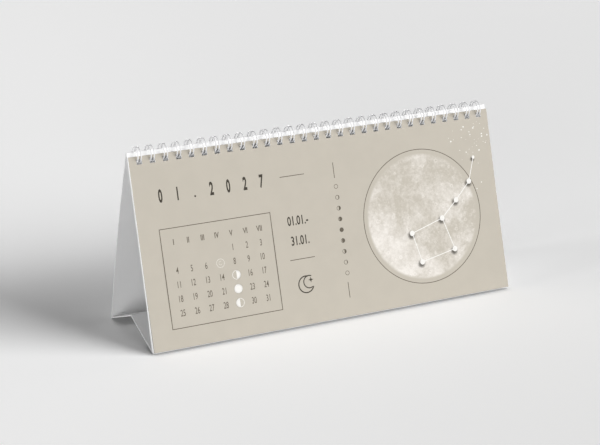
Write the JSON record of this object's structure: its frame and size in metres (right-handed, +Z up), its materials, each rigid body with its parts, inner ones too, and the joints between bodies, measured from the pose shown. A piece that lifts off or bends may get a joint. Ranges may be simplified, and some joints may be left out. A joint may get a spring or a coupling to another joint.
{
  "type": "desk calendar",
  "caption": "Slim landscape desk calendar: a folded white card tent with a creased base, punched leaves on its front and a white twin-loop wire binding over its ridge.",
  "frame": {"origin": "middle of the bounding box's bottom face, on the table", "axes": "+X along the binding to the viewer's right, -Y the way the leaves face, +Z up"},
  "size_m": [0.21, 0.0579, 0.1002],
  "materials": {
    "white_card": "smooth uncoated white card",
    "white_wire": "steel wire with a glossy white coating",
    "leaf_paper": "smooth white paper",
    "month_print": "paper printed matt beige"
  },
  "bodies": {
    "stand": {"easel": "white_card", "twin_loop_wire": "white_wire"},
    "leaf_block": {"leaf_block": "leaf_paper"},
    "month_leaf": {"month_leaf": "month_print"}
  },
  "joints": [
    {"name": "block_turn", "type": "hinge", "parent": "stand", "child": "leaf_block", "pos_m": [0, 0.00076, 0.0963], "axis": [-1, 0, 0], "range_deg": [0, 245]},
    {"name": "month_turn", "type": "hinge", "parent": "leaf_block", "child": "month_leaf", "pos_m": [0, 0.00076, 0.0963], "axis": [-1, 0, 0], "range_deg": [0, 245]}
  ]
}
